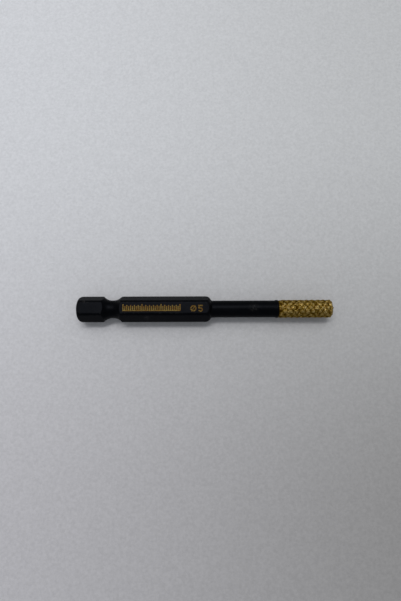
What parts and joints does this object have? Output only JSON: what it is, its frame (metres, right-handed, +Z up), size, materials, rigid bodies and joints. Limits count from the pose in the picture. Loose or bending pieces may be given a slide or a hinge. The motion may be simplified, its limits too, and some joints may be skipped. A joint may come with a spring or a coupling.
{
  "type": "diamond tile drill bit",
  "caption": "Hollow drill bit for tiles: a black hexagonal quick-change shank with a ring groove, a slim round stem and a gold crown of brazed diamond grit.",
  "frame": {"origin": "middle of the drive end's face, on the axis of the shank", "axes": "+X along the bit from the drive end to the crown's rim, +Z up, out of the printed flat of the hexagon"},
  "size_m": [0.0686, 0.007, 0.0064],
  "materials": {
    "black_steel": "satin black coating on steel",
    "gold_braze": "rough gold braze",
    "gold_grit": "diamond grains under a gold film",
    "gold_print": "matt gold ink"
  },
  "bodies": {
    "root": {"shank": "black_steel", "braze_matrix": "gold_braze", "diamond_grit": "gold_grit", "printed_marks": "gold_print"}
  },
  "joints": []
}
